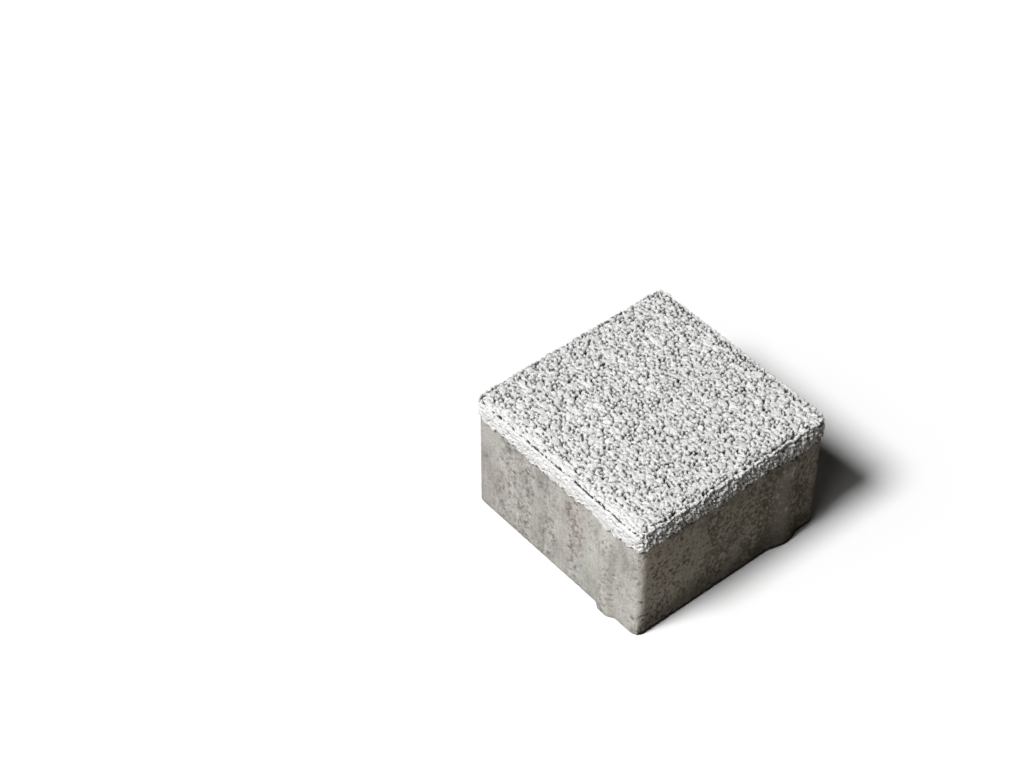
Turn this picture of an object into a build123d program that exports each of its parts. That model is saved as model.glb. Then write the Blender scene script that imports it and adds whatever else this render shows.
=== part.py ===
from build123d import *
import os

# Square paving block in two layers: a grey concrete backing that lies on the bed, and a facing of
# white stone granulate pressed on top of it. The facing stands out a little past the backing, and
# each side of the backing has one upright spacer rib, so that blocks laid together keep a joint.
# Millimetres, +Z up, origin at the centre of the bed face.

# Block
backing_side = 100.0            # between two opposite plain sides, without the ribs
block_height = 60.0             # bed face to walking face
backing_corner_radius = 4.0     # upright corners of the backing
bed_edge_radius = 1.0           # rounding round the bed face

# Facing
facing_thickness = 9.0
facing_overhang = 1.0           # how far the facing stands out past the backing
walking_edge_radius = 1.6       # rounding round the walking face
facing_lip_radius = 0.5         # rounding under the overhang

# Spacer ribs, one on each side
side_count = 4
rib_projection = 2.0            # the joint that the crest keeps open
rib_root_width = 12.0
rib_crest_width = 4.0
rib_end_distance = 19.0         # rib's centre line from the right-hand end of its side
rib_head_gap = 1.5              # bare backing between the rib's head and the facing
rib_head_slope = 9.0            # height over which the head leans back into the side
rib_blend_radius = 3.0          # soft edges along the crest and the root

backing_height = block_height - facing_thickness
facing_side = backing_side + 2 * facing_overhang
facing_corner_radius = backing_corner_radius + facing_overhang
half_side = backing_side / 2
rib_head_level = backing_height - rib_head_gap


# One rib on the -Y side: a trapezoid in plan, with a head that leans back until it meets the side
def spacer_rib():
    centre = half_side - rib_end_distance
    half_root = rib_root_width / 2
    half_crest = rib_crest_width / 2
    crest = -half_side - rib_projection
    section = Polygon(
        (centre - half_root, -half_side),
        (centre - half_crest, crest),
        (centre + half_crest, crest),
        (centre + half_root, -half_side),
        align=None,
    )
    bar = extrude(section, rib_head_level)
    head = Plane(
        origin=(centre, -half_side, rib_head_level),
        x_dir=(1, 0, 0),
        z_dir=(0, -rib_head_slope, rib_projection),
    )
    rib = split(bar, bisect_by=head, keep=Keep.BOTTOM)
    root_face = rib.faces().sort_by(Axis.Y)[-1]
    foot_face = rib.faces().sort_by(Axis.Z)[0]
    outer_edges = rib.edges() - root_face.edges() - foot_face.edges()
    return fillet(outer_edges, rib_blend_radius)


# Backing: a rounded square prism with the rib repeated round its upright axis
def backing():
    plan = RectangleRounded(backing_side, backing_side, backing_corner_radius)
    block = extrude(plan, backing_height)
    rib = spacer_rib()
    for side in range(side_count):
        block += Rot(0, 0, side * 360 / side_count) * rib
    root_edges = block.edges().filter_by(lambda edge: edge.is_interior)
    block = fillet(root_edges, rib_blend_radius)
    bed_edges = block.faces().sort_by(Axis.Z)[0].edges()
    return fillet(bed_edges, bed_edge_radius)


# Facing: a slab with rounded corners, seated on the backing
def facing():
    plan = RectangleRounded(facing_side, facing_side, facing_corner_radius)
    slab = Pos(0, 0, backing_height) * extrude(plan, facing_thickness)
    walking_edges = slab.faces().sort_by(Axis.Z)[-1].edges()
    slab = fillet(walking_edges, walking_edge_radius)
    lip_edges = slab.faces().sort_by(Axis.Z)[0].edges()
    return fillet(lip_edges, facing_lip_radius)


os.makedirs("parts", exist_ok=True)
export_step(backing(), "parts/concrete_backing.step")
export_step(facing(), "parts/granulate_facing.step")
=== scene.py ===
import math
import bpy
import numpy as np
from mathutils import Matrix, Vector, kdtree, noise


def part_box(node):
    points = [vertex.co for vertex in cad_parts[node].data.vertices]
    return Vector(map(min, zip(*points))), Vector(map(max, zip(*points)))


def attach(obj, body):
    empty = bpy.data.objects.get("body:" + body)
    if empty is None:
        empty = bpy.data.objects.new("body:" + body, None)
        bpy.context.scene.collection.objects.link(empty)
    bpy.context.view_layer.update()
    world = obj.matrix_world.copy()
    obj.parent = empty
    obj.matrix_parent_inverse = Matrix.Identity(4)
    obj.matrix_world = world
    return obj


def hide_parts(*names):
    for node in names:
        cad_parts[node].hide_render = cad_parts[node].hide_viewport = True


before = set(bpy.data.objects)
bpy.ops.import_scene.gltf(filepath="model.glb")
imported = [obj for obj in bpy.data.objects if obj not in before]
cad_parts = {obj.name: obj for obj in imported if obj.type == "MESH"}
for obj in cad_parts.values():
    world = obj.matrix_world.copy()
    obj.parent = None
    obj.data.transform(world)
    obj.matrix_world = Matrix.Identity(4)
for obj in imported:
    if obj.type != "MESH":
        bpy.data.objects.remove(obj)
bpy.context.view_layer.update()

tiny = 1e-6


# small helpers that every piece uses

def pickOnly(piece):
    bpy.ops.object.select_all(action="DESELECT")
    piece.select_set(True)
    bpy.context.view_layer.objects.active = piece


def addBox(name, low, high):
    bpy.ops.object.select_all(action="DESELECT")
    bpy.ops.mesh.primitive_cube_add(size=1, location=(low + high) / 2, scale=high - low)
    box = bpy.context.object
    box.name = name
    bpy.ops.object.transform_apply(location=True, rotation=True, scale=True)
    return box


# rounds the edges whose two ends both pass the test
def roundEdges(piece, test, radius, segments):
    pickOnly(piece)
    bpy.ops.object.mode_set(mode="EDIT")
    bpy.ops.mesh.select_mode(type="EDGE")
    bpy.ops.mesh.select_all(action="DESELECT")
    bpy.ops.object.mode_set(mode="OBJECT")
    spots = piece.data.vertices
    for edge in piece.data.edges:
        first, second = (spots[i].co for i in edge.vertices)
        edge.select = test(first, second)
    bpy.ops.object.mode_set(mode="EDIT")
    bpy.ops.mesh.bevel(offset=radius, segments=segments, profile=0.5, affect="EDGES")
    bpy.ops.object.mode_set(mode="OBJECT")


def isUpright(first, second):
    return (first - second).to_2d().length < tiny


# rebuilds the skin in even square cells, fine enough to carry relief
def evenCells(piece, cell):
    pickOnly(piece)
    remesh = piece.modifiers.new("even cells", "REMESH")
    remesh.mode = "VOXEL"
    remesh.voxel_size = cell
    bpy.ops.object.modifier_apply(modifier=remesh.name)


# swaps the fine cells of a hidden flat, up to reach from the middle, for one plain face
def plainFlat(piece, level, direction, reach, slack):
    nearlyLevel = 0.9
    pickOnly(piece)
    bpy.ops.object.mode_set(mode="EDIT")
    bpy.ops.mesh.select_mode(type="FACE")
    bpy.ops.mesh.select_all(action="DESELECT")
    bpy.ops.object.mode_set(mode="OBJECT")
    for face in piece.data.polygons:
        flat = face.normal.z * direction > nearlyLevel and abs(face.center.z - level) < slack
        face.select = flat and max(abs(face.center.x), abs(face.center.y)) < reach
    bpy.ops.object.mode_set(mode="EDIT")
    bpy.ops.mesh.delete(type="FACE")
    bpy.ops.mesh.select_mode(type="EDGE")
    bpy.ops.mesh.select_all(action="DESELECT")
    bpy.ops.mesh.select_non_manifold(extend=False, use_wire=False, use_multi_face=False,
                                     use_non_contiguous=False, use_verts=False)
    bpy.ops.mesh.edge_face_add()
    bpy.ops.object.mode_set(mode="OBJECT")


def readSkin(piece):
    count = len(piece.data.vertices)
    spots, outward = np.empty(count * 3), np.empty(count * 3)
    piece.data.vertices.foreach_get("co", spots)
    piece.data.vertices.foreach_get("normal", outward)
    return spots.reshape(-1, 3), outward.reshape(-1, 3)


def writeSkin(piece, spots):
    piece.data.vertices.foreach_set("co", spots.ravel())
    piece.data.update()


# no spot may stand out sideways past the box of the node that the piece stands for
def keepWithin(spots, low, high):
    np.clip(spots[:, 0], low.x, high.x, out=spots[:, 0])
    np.clip(spots[:, 1], low.y, high.y, out=spots[:, 1])


def paint(piece, name, values):
    layer = piece.data.attributes.new(name, "FLOAT", "POINT")
    layer.data.foreach_set("value", values)


def dress(piece, material):
    pickOnly(piece)
    bpy.ops.object.shade_smooth()
    piece.data.materials.clear()
    piece.data.materials.append(material)
    print(piece.name + ":", len(piece.data.polygons), "faces")


def searchTree(spots):
    tree = kdtree.KDTree(len(spots))
    for index, spot in enumerate(spots):
        tree.insert(spot, index)
    tree.balance()
    return tree


# soft noise between -1 and 1, lumps of the given size, drawn out upwards by stretch
def lumpNoise(spots, size, shift=0.0, stretch=1.0):
    scaled = spots / np.array([size, size, size * stretch]) + shift
    return np.array([noise.noise(Vector(spot)) for spot in scaled])


# random spots on the skin, none nearer to another than spacing, none on spots already taken
def scatter(tree, spots, spacing, dice, taken=(), clear=0.0):
    free = np.ones(len(spots), bool)
    for index in taken:
        free[[hit[1] for hit in tree.find_range(spots[index], clear)]] = False
    seeds = []
    for index in dice.permutation(len(spots)):
        if free[index]:
            seeds.append(index)
            free[[hit[1] for hit in tree.find_range(spots[index], spacing)]] = False
    return seeds


def hump(values, place, width):
    return np.exp(-((values - place) / width) ** 2)


def easeUp(values, start, end):
    share = np.clip((values - start) / (end - start), 0, 1)
    return share * share * (3 - 2 * share)


def easeDown(values, start, end):
    return 1 - easeUp(values, start, end)


# how far a spot lies inside a square outline with rounded corners
def insideOutline(spots, half, radius):
    away = np.abs(spots[:, :2]) - (half - radius)
    corner = np.linalg.norm(np.maximum(away, 0), axis=1)
    return radius - corner - np.minimum(away.max(axis=1), 0)


# sides are numbered from the front (-Y) by way of the right, the back and the left
sideways = np.array([(0, -1, 0), (1, 0, 0), (0, 1, 0), (-1, 0, 0)])


# place along its side of every spot, from left to right as seen from outside, and the side's number
def alongSides(spots):
    x, y = spots[:, 0], spots[:, 1]
    side = np.select([-y >= np.abs(x), x >= np.abs(y), y >= np.abs(x)], [0, 1, 2], 3)
    return np.choose(side, [x, y, -x, -y]), side


# one value for each of the four sides, blended round the upright corners
def bySide(values, outward, side):
    across = np.stack([-outward[:, 1], outward[:, 0], outward[:, 1], -outward[:, 0]], 1)
    shares = np.maximum(across, 0) ** 2
    total = shares.sum(axis=1)
    least = 0.1                       # below this the skin is too level to belong to a side
    plain = np.choose(side, values)
    return np.where(total > least, shares @ np.array(values) / np.maximum(total, least), plain)


# node helpers

def newMaterial(name):
    material = bpy.data.materials.new(name)
    material.use_nodes = True
    tree = material.node_tree
    return material, tree, tree.nodes["Principled BSDF"]


def feed(tree, socket, value):
    if isinstance(value, bpy.types.NodeSocket):
        tree.links.new(value, socket)
    else:
        socket.default_value = value


def addNode(tree, kind, inputs=None, **settings):
    node = tree.nodes.new(kind)
    for name, value in settings.items():
        setattr(node, name, value)
    for name, value in (inputs or {}).items():
        feed(tree, node.inputs[name], value)
    return node


def ramp(tree, value, stops):
    node = addNode(tree, "ShaderNodeValToRGB", {"Fac": value})
    elements = node.color_ramp.elements
    while len(elements) < len(stops):
        elements.new(0.5)
    for element, (place, colour) in zip(elements, stops):
        element.position = place
        element.color = (*colour, 1)
    return node.outputs["Color"]


# the node's colour sockets share their names with others, so they are picked by number
def mixColour(tree, share, first, second, blend="MIX"):
    node = addNode(tree, "ShaderNodeMix", data_type="RGBA", blend_type=blend)
    for number, value in ((0, share), (6, first), (7, second)):
        feed(tree, node.inputs[number], value)
    return node.outputs[2]


def readPaint(tree, name):
    return addNode(tree, "ShaderNodeAttribute", attribute_name=name).outputs["Fac"]


def finishShader(tree, shader, look, colour, height):
    strength, distance = look["bump"]
    bump = addNode(tree, "ShaderNodeBump", {"Height": height, "Strength": strength, "Distance": distance})
    tree.links.new(bump.outputs["Normal"], shader.inputs["Normal"])
    tree.links.new(colour, shader.inputs["Base Color"])
    shader.inputs["Roughness"].default_value = look["roughness"]
    shader.inputs["Specular IOR Level"].default_value = look["specular"]


# white granulate facing; four values in a row are for the front, right, back and left side

facing = {
    "node": "granulate_facing",
    "slot": "white_granulate",
    "cell": 0.0004,
    "cornerRadius": 0.005,
    "rimRadius": 0.0016,
    "lipRadius": 0.0005,
    "underReach": 0.048,              # the underside is one plain face up to here
    "topSlope": (0.3, 0.7),           # upward part of the normal between which a side turns into the top
    # grains
    "seed": 11,
    "bigSpacing": 0.0043,
    "bigClear": 0.0021,
    "bigSwell": 0.0008,               # how much further a big grain reaches than a small one
    "swellSpread": 0.00012,
    "smallSpacing": 0.00145,
    "crown": (-0.00045, 0.00012),     # grain tops against the flat that the press gives
    "lean": 0.19,
    "dome": 0.00012,
    "domeReach": 0.00087,
    "creaseDepth": (0.00005, 0.0011),
    "creaseBias": 2.5,                # most creases are shallow
    "creaseWidth": 0.00044,
    "pitDepth": 0.0040,
    "pitBias": 2,
    "pitWidth": 0.00085,
    "warp": 0.0004,
    "warpSize": 0.0012,
    "rough": 0.00008,
    "roughSize": 0.0008,
    # how much of the crowns, the hollows and the dust each side keeps
    "sideCrowns": (0.4, 1.0, 0.8, 0.8),
    "sideHollows": (0.2, 0.4, 0.5, 0.5),
    "sideDust": (0.2, 0.9, 0.6, 0.4),
    # grains lie tighter in a strip along the front rim, looser at the right and the back
    "strip": (0.0035, 0.0085),
    "stripWander": (0.006, 0.003),    # size and height of the strip's uneven edge
    "tight": (0.6, -0.3, -0.4, 0.0),
    "frontReach": (0.004, 0.045),
    "frontTight": 0.15,
    # broken groove just inside the rim, with a plainer edge outside it
    "rimGroove": 0.0015,
    "rimGrooveIn": (0.0011, 0.0019, 0.0018, 0.0011),
    "rimGrooveWidth": 0.0006,
    "rimGrooveShare": (1, 1, 1, 0.9),
    "rimGrooveWander": (0.0028, 0.0005),
    "rimGrooveReach": 0.002,          # no groove lower down than this
    "breakSize": 0.0012,
    "breakSharpness": 6,
    "breakBias": 0.35,
    "plainEdge": (1, 0.85, 0.7, 0.5),
    "plainFade": 0.0006,
    "plainHollows": 0.8,
    "plainCrowns": 0.6,
    "rimFill": (0, 0.0005, 0.0006, 0.0003),       # squarer rims
    "rimFillSlope": (0.7, 0.35),
    # the rim stands back from the lower lip, and the side comes out to it in two steps
    "setback": (0.0001, 0.0013, 0.0001, 0.0002),
    "setbackReach": (0.002, 0.008),
    "setbackUneven": (0.004, 0.6),    # size and strength
    "firstLedge": (0.0008, 0.0062, 0.7),          # from depth, to depth, share of the way out
    "secondLedge": (0.0064, 0.0080, 0.3),
    "sideLumps": (0.00008, 0.00105, 0.0006, 0.0003),
    "sideLumpSize": 0.0009,
    "proudest": 0.8,                  # lumps fill this much of the setback at most
    # the lower edge wanders: size and height of its waves
    "edgeWaves": ((0.030, 0.0010), (0.007, 0.0014), (0.0026, 0.0020), (0.0014, 0.0012)),
    "edgeDrop": (0.0003, -0.0003, 0.0004, 0.0004),
    "edgeReach": (-0.0032, 0.0010),
    "edgeHeight": 0.0045,             # the side is drawn out over this height
    "edgeInside": (0.001, 0.003),
    # the facing runs down onto the heads of the ribs: side, place along it, half width, depth
    "ribDips": ((0, 0.031, 0.0042, 0.0018), (1, 0.034, 0.0075, 0.0022), (1, 0.050, 0.0060, 0.0014),
                (2, 0.031, 0.0050, 0.0016), (3, 0.031, 0.0045, 0.0018)),
    # paint, with painted shade in the hollows, the rim groove and the recesses between side lumps
    "hollowShade": (0.0004, 0.0010),
    "grooveShade": (0.1, 0.5),
    "lumpShade": (0.00025, 0.0005),
    "lumpShadeShare": 0.6,
    "grainTone": (0.2, 0.5, 0.3),     # base, from grain to grain, added on sides and tight strips
    "tightDust": 0.6,                 # share of the dust that tight strips lose
    "whites": ((0, (0.82, 0.82, 0.815)), (0.5, (0.945, 0.945, 0.94)), (1, (0.985, 0.985, 0.975))),
    "dustScale": 1400,
    "dustShades": ((0.33, (0.72, 0.72, 0.715)), (0.58, (1, 1, 1))),
    "facetScale": 800,
    "facetShades": ((0.25, (0.88, 0.88, 0.875)), (0.75, (1, 1, 1))),
    "crackScale": 950,
    "crackShades": ((0, (0.74, 0.74, 0.735)), (0.12, (1, 1, 1))),
    # near-black colour of the painted shade
    "shadeColour": (0.016, 0.015, 0.014, 1),
    "roughness": 0.85,
    "specular": 0.3,
    "bump": (0.8, 0.0005),            # strength and height
}


def facingBlank(low, high):
    slab = addBox("facing", low, high)
    roundEdges(slab, isUpright, facing["cornerRadius"], segments=8)
    roundEdges(slab, lambda a, b: min(a.z, b.z) > high.z - tiny, facing["rimRadius"], segments=4)
    roundEdges(slab, lambda a, b: max(a.z, b.z) < low.z + tiny, facing["lipRadius"], segments=2)
    evenCells(slab, facing["cell"])
    plainFlat(slab, low.z, -1, facing["underReach"], facing["cell"])
    return slab


# crowns of pressed grains with creases between pairs and pits where three meet
def grainRelief(spots, dice):
    tree = searchTree(spots)
    big = scatter(tree, spots, facing["bigSpacing"], dice)
    small = scatter(tree, spots, facing["smallSpacing"], dice, big, facing["bigClear"])
    seeds = spots[big + small]
    count = len(seeds)
    swell = np.where(np.arange(count) < len(big), facing["bigSwell"], 0)
    swell = swell + dice.normal(0, facing["swellSpread"], count)
    crown = dice.uniform(*facing["crown"], count)
    lean = dice.normal(0, facing["lean"], (count, 3))
    shade = dice.uniform(0, 1, count)
    gap = dice.uniform(0, 1, count)

    # the three grains nearest to every spot, measured from a warped place so that outlines aren't straight
    warp = np.stack([lumpNoise(spots, facing["warpSize"], shift) for shift in (1.7, 21.3, 43.9)], 1)
    seedTree = searchTree(seeds)
    found = [seedTree.find_n(spot, 4) for spot in spots + facing["warp"] * warp]
    which = np.array([[hit[1] for hit in hits] for hits in found])
    reach = np.array([[hit[2] for hit in hits] for hits in found]) - swell[which]
    order = np.argsort(reach, axis=1)
    which = np.take_along_axis(which, order, axis=1)
    reach = np.take_along_axis(reach, order, axis=1)
    first, second, third = which[:, 0], which[:, 1], which[:, 2]

    top = crown[first] + ((spots - seeds[first]) * lean[first]).sum(axis=1)
    fromMiddle = np.maximum(reach[:, 0] + swell[first] / 2, 0)
    top -= facing["dome"] * (fromMiddle / facing["domeReach"]) ** 2
    pairGap = (gap[first] + gap[second]) % 1
    tripleGap = (gap[first] + gap[second] + gap[third]) % 1
    shallow, deep = facing["creaseDepth"]
    crease = shallow + (deep - shallow) * pairGap ** facing["creaseBias"]
    hollow = crease * np.exp(-((reach[:, 1] - reach[:, 0]) / facing["creaseWidth"]) ** 2)
    pit = facing["pitDepth"] * tripleGap ** facing["pitBias"]
    hollow += pit * np.exp(-((reach[:, 2] - reach[:, 0]) / facing["pitWidth"]) ** 3)
    print("facing:", len(big), "big and", len(small), "small grains")
    return top, hollow, shade[first]


# how far the lower edge lies above the joint plane, all round the block
def edgeLift(spots, along, side):
    lift = -np.choose(side, facing["edgeDrop"])
    for step, (size, height) in enumerate(facing["edgeWaves"]):
        lift += height * lumpNoise(spots * [1, 1, 0], size, 5.3 + 3.5 * step)
    for number, place, width, depth in facing["ribDips"]:
        lift -= depth * hump(along, place, width) * (side == number)
    return np.clip(lift, *facing["edgeReach"])


# how far the side stands back at every depth below the walking face
def sideSetback(spots, outward, side, inside, down):
    rim, middle, firstShare = facing["firstLedge"]
    over, lip, secondShare = facing["secondLedge"]
    size, strength = facing["setbackUneven"]
    back = 1 - firstShare * easeUp(down, rim, middle) - secondShare * easeUp(down, over, lip)
    uneven = 1 + strength * lumpNoise(spots, size, 8.8)
    setback = bySide(facing["setback"], outward, side) * back * uneven
    return setback * easeDown(inside, *facing["setbackReach"])


def makeFacing():
    low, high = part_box(facing["node"])
    slab = facingBlank(low, high)
    spots, outward = readSkin(slab)
    dice = np.random.default_rng(facing["seed"])
    top, hollow, shade = grainRelief(spots, dice)
    onTop = easeUp(outward[:, 2], *facing["topSlope"])
    onSide = 1 - onTop
    along, side = alongSides(spots)
    inside = insideOutline(spots, high.x, facing["cornerRadius"])
    down = high.z - spots[:, 2]

    # tighter grains along the rim
    size, height = facing["stripWander"]
    strip = easeDown(inside + height * lumpNoise(spots, size, 2.9), *facing["strip"])
    calm = strip * np.choose(side, facing["tight"])
    calm = (calm + facing["frontTight"] * easeDown(spots[:, 1] - low.y, *facing["frontReach"])) * onTop

    # plain edge outside the groove, smoother sides
    size, height = facing["rimGrooveWander"]
    line = np.choose(side, facing["rimGrooveIn"]) + height * lumpNoise(spots, size, 1.3)
    edge = easeDown(inside, line - facing["plainFade"], line) * onTop * np.choose(side, facing["plainEdge"])
    hollow *= (1 - calm) * (1 - facing["plainHollows"] * edge)
    hollow *= onTop + bySide(facing["sideHollows"], outward, side) * onSide
    top *= 1 - facing["plainCrowns"] * edge
    top *= onTop + bySide(facing["sideCrowns"], outward, side) * onSide

    # broken groove along the rim
    broken = lumpNoise(spots, facing["breakSize"], 3.7) * facing["breakSharpness"] + facing["breakBias"]
    broken = np.clip(broken, 0, 1) * np.choose(side, facing["rimGrooveShare"])
    groove = hump(inside, line, facing["rimGrooveWidth"]) * broken * (down < facing["rimGrooveReach"])

    # lumpy sides that come out from the rim down to the lower lip
    setback = sideSetback(spots, outward, side, inside, down)
    lumps = bySide(facing["sideLumps"], outward, side) * lumpNoise(spots, facing["sideLumpSize"], 6.1)
    level = top - hollow - facing["rimGroove"] * groove + lumps * onSide
    level += facing["rough"] * lumpNoise(spots, facing["roughSize"], 9.1)
    level = np.minimum(level, facing["proudest"] * setback)
    level += np.choose(side, facing["rimFill"]) * hump(outward[:, 2], *facing["rimFillSlope"])

    below = low.z + facing["edgeHeight"] - spots[:, 2]
    drawn = easeUp(below, 0, facing["edgeHeight"]) * easeDown(inside, *facing["edgeInside"])
    moved = spots + outward * level[:, None]
    moved -= sideways[side] * setback[:, None]
    moved[:, 2] += edgeLift(spots, along, side) * drawn
    keepWithin(moved, low, high)
    np.minimum(moved[:, 2], high.z, out=moved[:, 2])
    writeSkin(slab, moved)

    # painted shade: hollows, the rim groove and the recesses between side lumps are painted dark
    paintedShade = np.maximum(easeUp(hollow, *facing["hollowShade"]), easeUp(groove, *facing["grooveShade"]))
    paintedShade = np.maximum(paintedShade, facing["lumpShadeShare"] * onSide * easeUp(-lumps, *facing["lumpShade"]))
    base, spread, added = facing["grainTone"]
    dust = onTop * (1 - facing["tightDust"] * np.maximum(calm, 0))
    dust += onSide * bySide(facing["sideDust"], outward, side)
    paint(slab, "grainTone", base + spread * shade + added * np.maximum(onSide, calm))
    paint(slab, "paintedShade", paintedShade)
    paint(slab, "dust", dust)
    dress(slab, granulateMaterial())
    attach(slab, "root")
    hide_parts(facing["node"])
    return slab


def granulateMaterial():
    material, tree, shader = newMaterial("white granulate")
    place = addNode(tree, "ShaderNodeTexCoord").outputs["Object"]
    dust = addNode(tree, "ShaderNodeTexNoise",
                   {"Vector": place, "Scale": facing["dustScale"], "Detail": 4}).outputs["Fac"]
    facet = addNode(tree, "ShaderNodeTexVoronoi",
                    {"Vector": place, "Scale": facing["facetScale"]}).outputs["Color"]
    crack = addNode(tree, "ShaderNodeTexVoronoi", {"Vector": place, "Scale": facing["crackScale"]},
                    feature="DISTANCE_TO_EDGE").outputs["Distance"]
    white = ramp(tree, readPaint(tree, "grainTone"), facing["whites"])
    for pattern, shades in ((dust, "dustShades"), (facet, "facetShades"), (crack, "crackShades")):
        shaded = ramp(tree, pattern, facing[shades])
        white = mixColour(tree, readPaint(tree, "dust"), white, shaded, "MULTIPLY")
    # painted shade: dark paint in the hollows, the groove and the side recesses
    colour = mixColour(tree, readPaint(tree, "paintedShade"), white, facing["shadeColour"])
    finishShader(tree, shader, facing, colour, dust)
    return material


# grey concrete backing; four values in a row are for the front, right, back and left side

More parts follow.
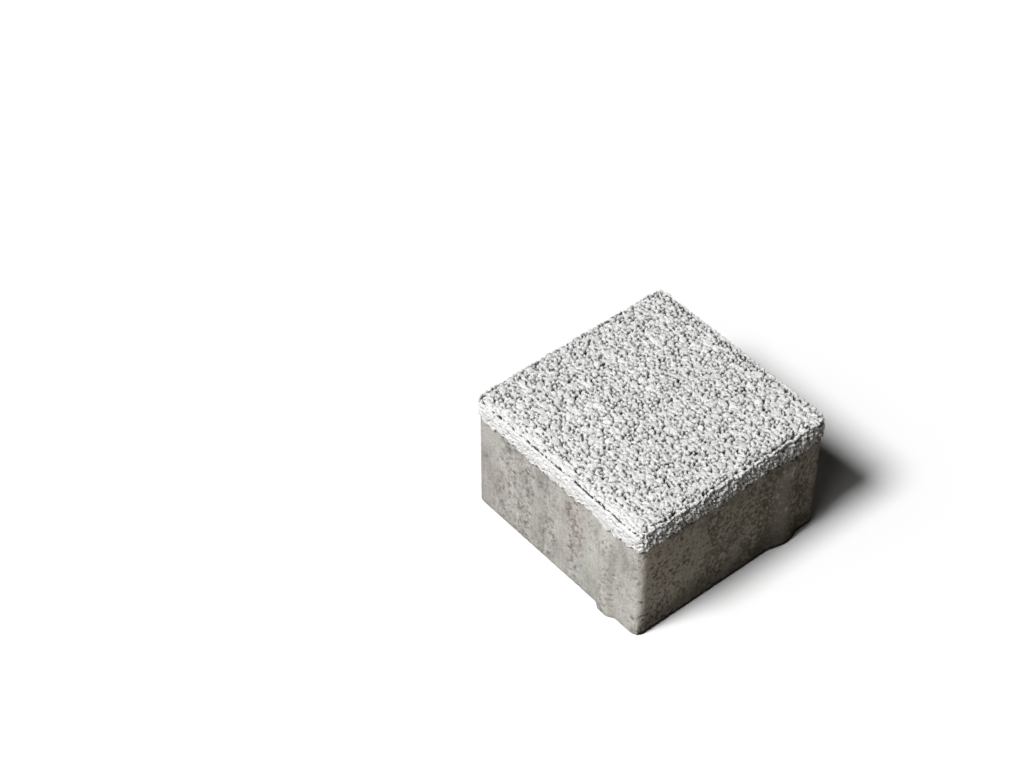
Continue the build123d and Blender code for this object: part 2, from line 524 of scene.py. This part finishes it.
backing = {
    "node": "concrete_backing",
    "slot": "grey_concrete",
    "cell": 0.0005,
    "side": 0.1,
    "cornerRadius": 0.004,
    "bedRadius": 0.0005,
    "bedReach": 0.046,                # the bed is one plain face up to here
    "topRise": 0.0012,                # hidden inside the facing
    # spacer ribs: half the width at the root and run of the soft flank, side by side
    "ribFromEnd": 0.019,
    "ribProud": 0.002,
    "ribShape": ((0.0064, 0.0047), (0.0100, 0.0098), (0.0068, 0.0052), (0.0066, 0.0050)),
    "ribHead": (0.0385, 0.0500),      # the head leans back into the side between these heights
    "ribInside": (0.001, 0.0035),     # the bed inside the rib stays where it is
    # upright bands: place along the side, half width, coarseness, hue from green (-1) to pink (1)
    "bands": (
        ((-0.043, 0.0080, -0.9, 0.2), (-0.029, 0.0050, 0.7, 0.0), (-0.017, 0.0030, 0.3, 0.0),
         (-0.010, 0.0035, -0.4, -0.1), (-0.003, 0.0030, 0.35, -0.3), (0.004, 0.0040, -0.5, 0.1),
         (0.011, 0.0045, 0.2, 0.3), (0.023, 0.0050, -0.6, -0.5), (0.0345, 0.0070, -0.3, 0.0),
         (0.042, 0.0040, -0.5, -0.1)),
        ((-0.038, 0.0080, 0.6, 0.1), (-0.019, 0.0050, -0.8, -0.1), (-0.009, 0.0035, 0.8, -0.2),
         (0.001, 0.0030, -0.3, -0.4), (0.011, 0.0050, 0.3, -0.1), (0.019, 0.0030, 0.5, -0.3),
         (0.028, 0.0035, -0.6, 0.0), (0.037, 0.0030, 0.5, -0.3), (0.045, 0.0040, -0.6, 0.2)),
        ((-0.036, 0.0080, 0.6, 0.3), (-0.012, 0.0070, -0.8, 0.0), (0.008, 0.0060, 0.7, 0.3),
         (0.024, 0.0050, -0.6, -0.4), (0.040, 0.0050, 0.4, 0.0)),
        ((-0.042, 0.0060, -0.7, 0.0), (-0.022, 0.0070, 0.7, -0.3), (0.002, 0.0080, -0.5, 0.3),
         (0.018, 0.0050, 0.7, 0.2), (0.036, 0.0050, -0.4, -0.2)),
    ),
    # patches: side, place along it, height, half width, half height, hue, tone
    "patches": (
        (0, 0.011, 0.036, 0.0055, 0.0090, 0.9, 0.0), (0, 0.023, 0.020, 0.0050, 0.0150, -0.6, 0.05),
        # the second patch on the line below is painted shade, darker at the left end of the front side
        (0, -0.034, 0.034, 0.0040, 0.0060, 0.6, 0.0), (0, -0.050, 0.018, 0.0120, 0.0300, 0.3, -0.22),
        (0, 0.034, 0.026, 0.0080, 0.0400, 0.0, 0.08), (0, 0.030, 0.018, 0.0220, 0.0300, 0.0, 0.12),
        (0, -0.012, 0.006, 0.0220, 0.0100, 0.0, 0.12),
        # the tone of the right side's patches is painted light and shade: lighter by the front corner,
        # darker over the rib, low down and towards the far end
        (1, -0.037, 0.035, 0.0050, 0.0070, 0.8, 0.0), (1, -0.044, 0.028, 0.0140, 0.0400, 0.0, 0.68),
        (1, 0.026, 0.028, 0.0065, 0.0350, 0.0, -0.38), (1, 0.018, 0.006, 0.0340, 0.0170, 0.0, -0.38),
        (1, 0.045, 0.030, 0.0250, 0.0500, 0.0, -0.15), (1, 0.003, 0.044, 0.0060, 0.0050, -0.5, 0.0),
        (2, -0.020, 0.030, 0.0080, 0.0120, 0.6, 0.1), (3, 0.014, 0.034, 0.0070, 0.0120, 0.6, 0.0),
    ),
    # layers of lumps: size, shift, how far they are drawn out upwards, strength
    "swayLumps": ((0.014, 1.9, 1.0, 0.0022),),
    "coarseLumps": ((0.008, 2.2, 2.2, 0.7), (0.0035, 4.2, 1.8, 0.4)),
    "hueLumps": ((0.010, 6.4, 1.5, 0.45), (0.0035, 9.6, 1.5, 0.35)),
    "fadeLumps": ((0.011, 7.3, 1.6, 0.9),),
    "coarse": 0.42,
    "fade": 0.85,
    # mottled tone: its broad layers, then the ones that are weaker where the concrete is smooth
    "broadMottle": ((0.016, 3.1, 1.6, 0.30), (0.007, 7.8, 2.0, 0.34)),
    "midMottle": ((0.0034, 12.5, 1.6, 0.34),),
    "fineMottle": ((0.0018, 17.2, 1.3, 0.55), (0.0010, 21.9, 1.0, 0.65)),
    "mottleSides": (0.9, 2.2, 1.2, 1.0),
    "smoothMottle": 0.4,
    "coarseMottle": 0.75,
    "streak": (0.0012, 3.1, 9),       # size, shift, how far it is drawn out upwards
    "streakTone": 0.16,
    "midCoarse": 0.4,
    "coarseTone": -0.12,              # coarser than that is darker
    "cornerWidth": 0.0015,
    "cornerTone": (0.22, 0.0, 0.1, 0.1),
    # specks and pits
    "speckFrom": (0.16, 0.38),
    "speckStreak": 0.1,
    "speckDepth": 0.00012,
    "speckDark": 0.5,
    "streakDepth": 0.00005,
    "fineDepth": 0.00014,
    "fineSmooth": 0.3,
    "seed": 5,
    "pitSpacing": 0.0022,
    "pitChance": (0.05, 0.5, 0.35),   # anywhere, in coarse bands, along the upright edges
    "pitRadius": (0.0006, 0.0013),
    "pitDepth": (0.00008, 0.00035),
    "pitDark": 0.75,
    # painted shade: darker foot, black line along the bed, painted shadow under the facing and in the lee
    # of the right rib
    "footHeight": (0.002, 0.020),
    "footWander": (0.006, 0.003),
    "footDark": (0.04, 0.60, 0.37, 0.24),
    "bedLine": (0.0014, 0.0030),
    "bedDark": (0.22, 1.0, 0.7, 0.5),
    "jointLine": (0.0003, 0.0015),
    "jointDark": (0.08, 0.85, 0.41, 0.24),
    "paintedRibShadows": ((1, 0.0395, 0.001, 0.0040, 0.0040, 1.0), (1, 0.046, 0.001, 0.0050, 0.0040, 0.8)),
    # paint
    "brown": (0.1, 0.9, 0.6, 0.4),    # how earthy each side is
    "greys": ((0, (0.31, 0.295, 0.270)), (0.5, (0.545, 0.531, 0.507)), (1, (0.72, 0.705, 0.675))),
    "hues": ((0, (0.96, 1.0, 0.955)), (0.5, (1, 1, 1)), (1, (1.04, 0.965, 0.97))),
    "brownTint": (1.0, 0.945, 0.85, 1),
    "gritScale": 1300,
    "gritShades": ((0.3, (0.72, 0.71, 0.70)), (0.5, (1, 1, 1)), (0.7, (1.12, 1.12, 1.12))),
    "pitColour": (0.15, 0.14, 0.125, 1),
    # near-black colour of the painted shade
    "shadeColour": (0.034, 0.031, 0.027, 1),
    "roughness": 0.8,
    "specular": 0.3,
    "bump": (0.3, 0.0003),            # strength and height
}


def backingBlank(low, top):
    half = backing["side"] / 2
    block = addBox("backing", Vector((-half, -half, low.z)), Vector((half, half, top)))
    roundEdges(block, isUpright, backing["cornerRadius"], segments=6)
    roundEdges(block, lambda a, b: max(a.z, b.z) < low.z + tiny, backing["bedRadius"], segments=3)
    evenCells(block, backing["cell"])
    plainFlat(block, low.z, -1, backing["bedReach"], backing["cell"])
    plainFlat(block, top, 1, half, backing["cell"])
    return block


def raiseRibs(spots, along, side):
    half = backing["side"] / 2
    root = np.choose(side, [shape[0] for shape in backing["ribShape"]])
    flank = np.choose(side, [shape[1] for shape in backing["ribShape"]])
    off = root - np.abs(along - (half - backing["ribFromEnd"]))
    rise = easeUp(off / flank, 0, 1) * easeDown(spots[:, 2], *backing["ribHead"])
    rise *= easeDown(insideOutline(spots, half, backing["cornerRadius"]), *backing["ribInside"])
    return spots + sideways[side] * (rise * backing["ribProud"])[:, None]


def sumLumps(spots, layers):
    return sum(strength * lumpNoise(spots, *layer) for *layer, strength in layers)


# coarseness from 0 to 1, hue from -1 to 1 and added tone of every spot
def bandMix(spots, along, side):
    sway = along + sumLumps(spots, backing["swayLumps"])
    coarse = backing["coarse"] + sumLumps(spots, backing["coarseLumps"])
    hue = sumLumps(spots, backing["hueLumps"])
    fade = backing["fade"] + sumLumps(spots, backing["fadeLumps"])
    for number, bands in enumerate(backing["bands"]):
        here = (side == number) * fade
        for place, width, strength, tint in bands:
            share = hump(sway, place, width) * here
            coarse += strength * share
            hue += tint * share
    lighter = np.zeros(len(spots))
    for number, place, height, width, tall, tint, tone in backing["patches"]:
        share = (side == number) * hump(sway, place, width) * hump(spots[:, 2], height, tall)
        hue += tint * share * fade
        # on the right side and at the left end of the front side this tone is painted light and shade
        lighter += tone * share
    return np.clip(coarse, 0, 1), np.clip(hue, -1, 1), lighter


# shallow round pits, most in the coarse bands and along the upright edges
def sinkPits(spots, coarse, corner, level, pit):
    dice = np.random.default_rng(backing["seed"])
    tree = searchTree(spots)
    anywhere, inCoarse, atCorner = backing["pitChance"]
    deepest = backing["pitDepth"][1]
    for seed in scatter(tree, spots, backing["pitSpacing"], dice):
        if dice.uniform() > anywhere + inCoarse * coarse[seed] ** 2 + atCorner * corner[seed]:
            continue
        radius = dice.uniform(*backing["pitRadius"])
        depth = dice.uniform(*backing["pitDepth"])
        hits = tree.find_range(spots[seed], radius)
        near = np.array([hit[1] for hit in hits])
        fall = 1 - (np.array([hit[2] for hit in hits]) / radius) ** 2
        level[near] -= depth * fall
        pit[near] = np.maximum(pit[near], backing["pitDark"] * fall * depth / deepest)


# painted shade: darker foot and painted shadow in the lee of the right rib, line along the bed, painted
# shadow under the facing
def paintedBackingShade(spots, along, side, jointLevel):
    size, height = backing["footWander"]
    foot = easeDown(spots[:, 2] + height * lumpNoise(spots, size, 5.5), *backing["footHeight"])
    foot = np.choose(side, backing["footDark"]) * foot
    for number, place, height, width, tall, strength in backing["paintedRibShadows"]:
        share = (side == number) * hump(along, place, width) * hump(spots[:, 2], height, tall)
        foot = np.maximum(foot, strength * share)
    bed = np.choose(side, backing["bedDark"]) * easeDown(spots[:, 2], *backing["bedLine"])
    below = jointLevel + edgeLift(spots, along, side) - spots[:, 2]
    joint = np.choose(side, backing["jointDark"]) * easeDown(below, *backing["jointLine"])
    return np.maximum(np.maximum(foot, bed), joint)


def makeBacking():
    low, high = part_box(backing["node"])
    block = backingBlank(low, high.z + backing["topRise"])
    spots, outward = readSkin(block)
    along, side = alongSides(spots)
    writeSkin(block, raiseRibs(spots, along, side))
    spots, outward = readSkin(block)
    coarse, hue, lighter = bandMix(spots, along, side)
    edgeLine = backing["side"] / 2 - backing["cornerWidth"]
    corner = hump(np.abs(along), edgeLine, backing["cornerWidth"])

    # mottled and streaked tone
    much = backing["smoothMottle"] + backing["coarseMottle"] * coarse
    much *= np.choose(side, backing["mottleSides"])
    fine = sumLumps(spots, backing["fineMottle"])
    streak = lumpNoise(spots, *backing["streak"])
    tone = 0.5 + sumLumps(spots, backing["broadMottle"])
    tone += (sumLumps(spots, backing["midMottle"]) + fine) * much
    tone += lighter + backing["streakTone"] * streak
    tone += backing["coarseTone"] * (coarse - backing["midCoarse"])
    tone += np.choose(side, backing["cornerTone"]) * corner

    # specks and pits
    speck = easeUp(-fine + backing["speckStreak"] * streak, *backing["speckFrom"]) * coarse
    level = backing["streakDepth"] * streak - backing["speckDepth"] * speck
    level += backing["fineDepth"] * np.minimum(fine, 0) * (backing["fineSmooth"] + coarse)
    pit = backing["speckDark"] * speck
    sinkPits(spots, coarse, corner, level, pit)
    moved = spots + outward * np.minimum(level, 0)[:, None]
    keepWithin(moved, low, high)
    writeSkin(block, moved)

    paint(block, "tone", np.clip(tone, 0, 1))
    paint(block, "hue", 0.5 + 0.5 * hue)
    paint(block, "brown", bySide(backing["brown"], outward, side))
    paint(block, "pit", np.clip(pit, 0, 1))
    paint(block, "paintedShade", paintedBackingShade(spots, along, side, high.z))
    dress(block, concreteMaterial())
    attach(block, "root")
    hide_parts(backing["node"])
    return block


def concreteMaterial():
    material, tree, shader = newMaterial("grey concrete")
    place = addNode(tree, "ShaderNodeTexCoord").outputs["Object"]
    grit = addNode(tree, "ShaderNodeTexNoise",
                   {"Vector": place, "Scale": backing["gritScale"], "Detail": 3}).outputs["Fac"]
    grey = ramp(tree, readPaint(tree, "tone"), backing["greys"])
    grey = mixColour(tree, 1.0, grey, ramp(tree, readPaint(tree, "hue"), backing["hues"]), "MULTIPLY")
    grey = mixColour(tree, readPaint(tree, "brown"), grey, backing["brownTint"], "MULTIPLY")
    grey = mixColour(tree, 1.0, grey, ramp(tree, grit, backing["gritShades"]), "MULTIPLY")
    colour = mixColour(tree, readPaint(tree, "pit"), grey, backing["pitColour"])
    # painted shade: darker foot, bed line, shadow under the facing and by the right rib
    colour = mixColour(tree, readPaint(tree, "paintedShade"), colour, backing["shadeColour"])
    finishShader(tree, shader, backing, colour, grit)
    return material


# floor, light and camera

studio = {
    "floorColour": (0.98, 0.98, 0.98, 1),
    "floorBounce": (0.11, 0.10, 0.087, 1),        # what the floor throws back onto the block
    "floorSize": 6.0,
    "backdrop": (1, 1, 1, 1),
    "worldColour": (0.002, 0.002, 0.002, 1),
    # lamps: azimuth from the front side, elevation, width in degrees, light on a face turned to it
    "lamps": {
        "key": (-7.2, 54.3, 18, 1.12),
        "side": (17, 47, 20, 0.065),
        "soft": (-22, 42, 40, 0.10),
        "back": (232, 1, 5, 0.14),
    },
    # low warm card off the right side
    "cardPlace": (0.26, -0.16, 0.018),
    "cardAim": (0.05, -0.02, 0.03),
    "cardSize": (0.14, 0.03),
    "cardPower": 0.055,
    "cardColour": (1.0, 0.96, 0.90),
}

camera = {
    "azimuth": 50.11,
    "elevation": 45.13,
    "place": (0.5077, -0.4973, 0.7852),
    "lens": 88.6,
    "sensor": 36,
    "nearest": 0.01,
}


def towards(azimuth, elevation):
    turn, rise = math.radians(azimuth), math.radians(elevation)
    return Vector((math.sin(turn) * math.cos(rise), -math.cos(turn) * math.cos(rise), math.sin(rise)))


# puts a lamp or camera in its place, with its back to the given direction
def putUp(name, data, place, direction):
    thing = bpy.data.objects.new(name, data)
    thing.location = place
    thing.rotation_euler = direction.to_track_quat("Z", "Y").to_euler()
    bpy.context.collection.objects.link(thing)
    return thing


def addLamp(name, azimuth, elevation, width, strength):
    data = bpy.data.lights.new(name, "SUN")
    data.angle = math.radians(width)
    data.energy = strength * math.pi
    direction = towards(azimuth, elevation)
    putUp(name, data, direction, direction)


def addCard():
    data = bpy.data.lights.new("card", "AREA")
    data.shape = "RECTANGLE"
    data.size, data.size_y = studio["cardSize"]
    data.energy = studio["cardPower"]
    data.color = studio["cardColour"]
    place = Vector(studio["cardPlace"])
    card = putUp("card", data, place, place - Vector(studio["cardAim"]))
    card.visible_camera = False


def makeFloor():
    bpy.ops.object.select_all(action="DESELECT")
    bpy.ops.mesh.primitive_plane_add(size=studio["floorSize"], location=(0, 0, 0))
    floor = bpy.context.object
    floor.name = "floor"
    material, tree, shader = newMaterial("white sweep")
    path = addNode(tree, "ShaderNodeLightPath").outputs["Is Camera Ray"]
    shader.inputs["Roughness"].default_value = 1.0
    shader.inputs["Specular IOR Level"].default_value = 0.0
    colour = mixColour(tree, path, studio["floorBounce"], studio["floorColour"])
    tree.links.new(colour, shader.inputs["Base Color"])
    floor.data.materials.append(material)


def makeStudio():
    makeFloor()
    for name, lamp in studio["lamps"].items():
        addLamp(name, *lamp)
    addCard()
    world = bpy.data.worlds.new("studio")
    bpy.context.scene.world = world
    world.use_nodes = True
    tree = world.node_tree
    path = addNode(tree, "ShaderNodeLightPath").outputs["Is Camera Ray"]
    colour = mixColour(tree, path, studio["worldColour"], studio["backdrop"])
    tree.links.new(colour, tree.nodes["Background"].inputs["Color"])
    bpy.context.scene.view_settings.view_transform = "Standard"
    print("studio lit")


def makeCamera():
    data = bpy.data.cameras.new("camera")
    data.sensor_width = camera["sensor"]
    data.lens = camera["lens"]
    data.clip_start = camera["nearest"]
    direction = towards(camera["azimuth"], camera["elevation"])
    bpy.context.scene.camera = putUp("camera", data, camera["place"], direction)
    print("camera set")


makeBacking()
makeFacing()
makeStudio()
makeCamera()
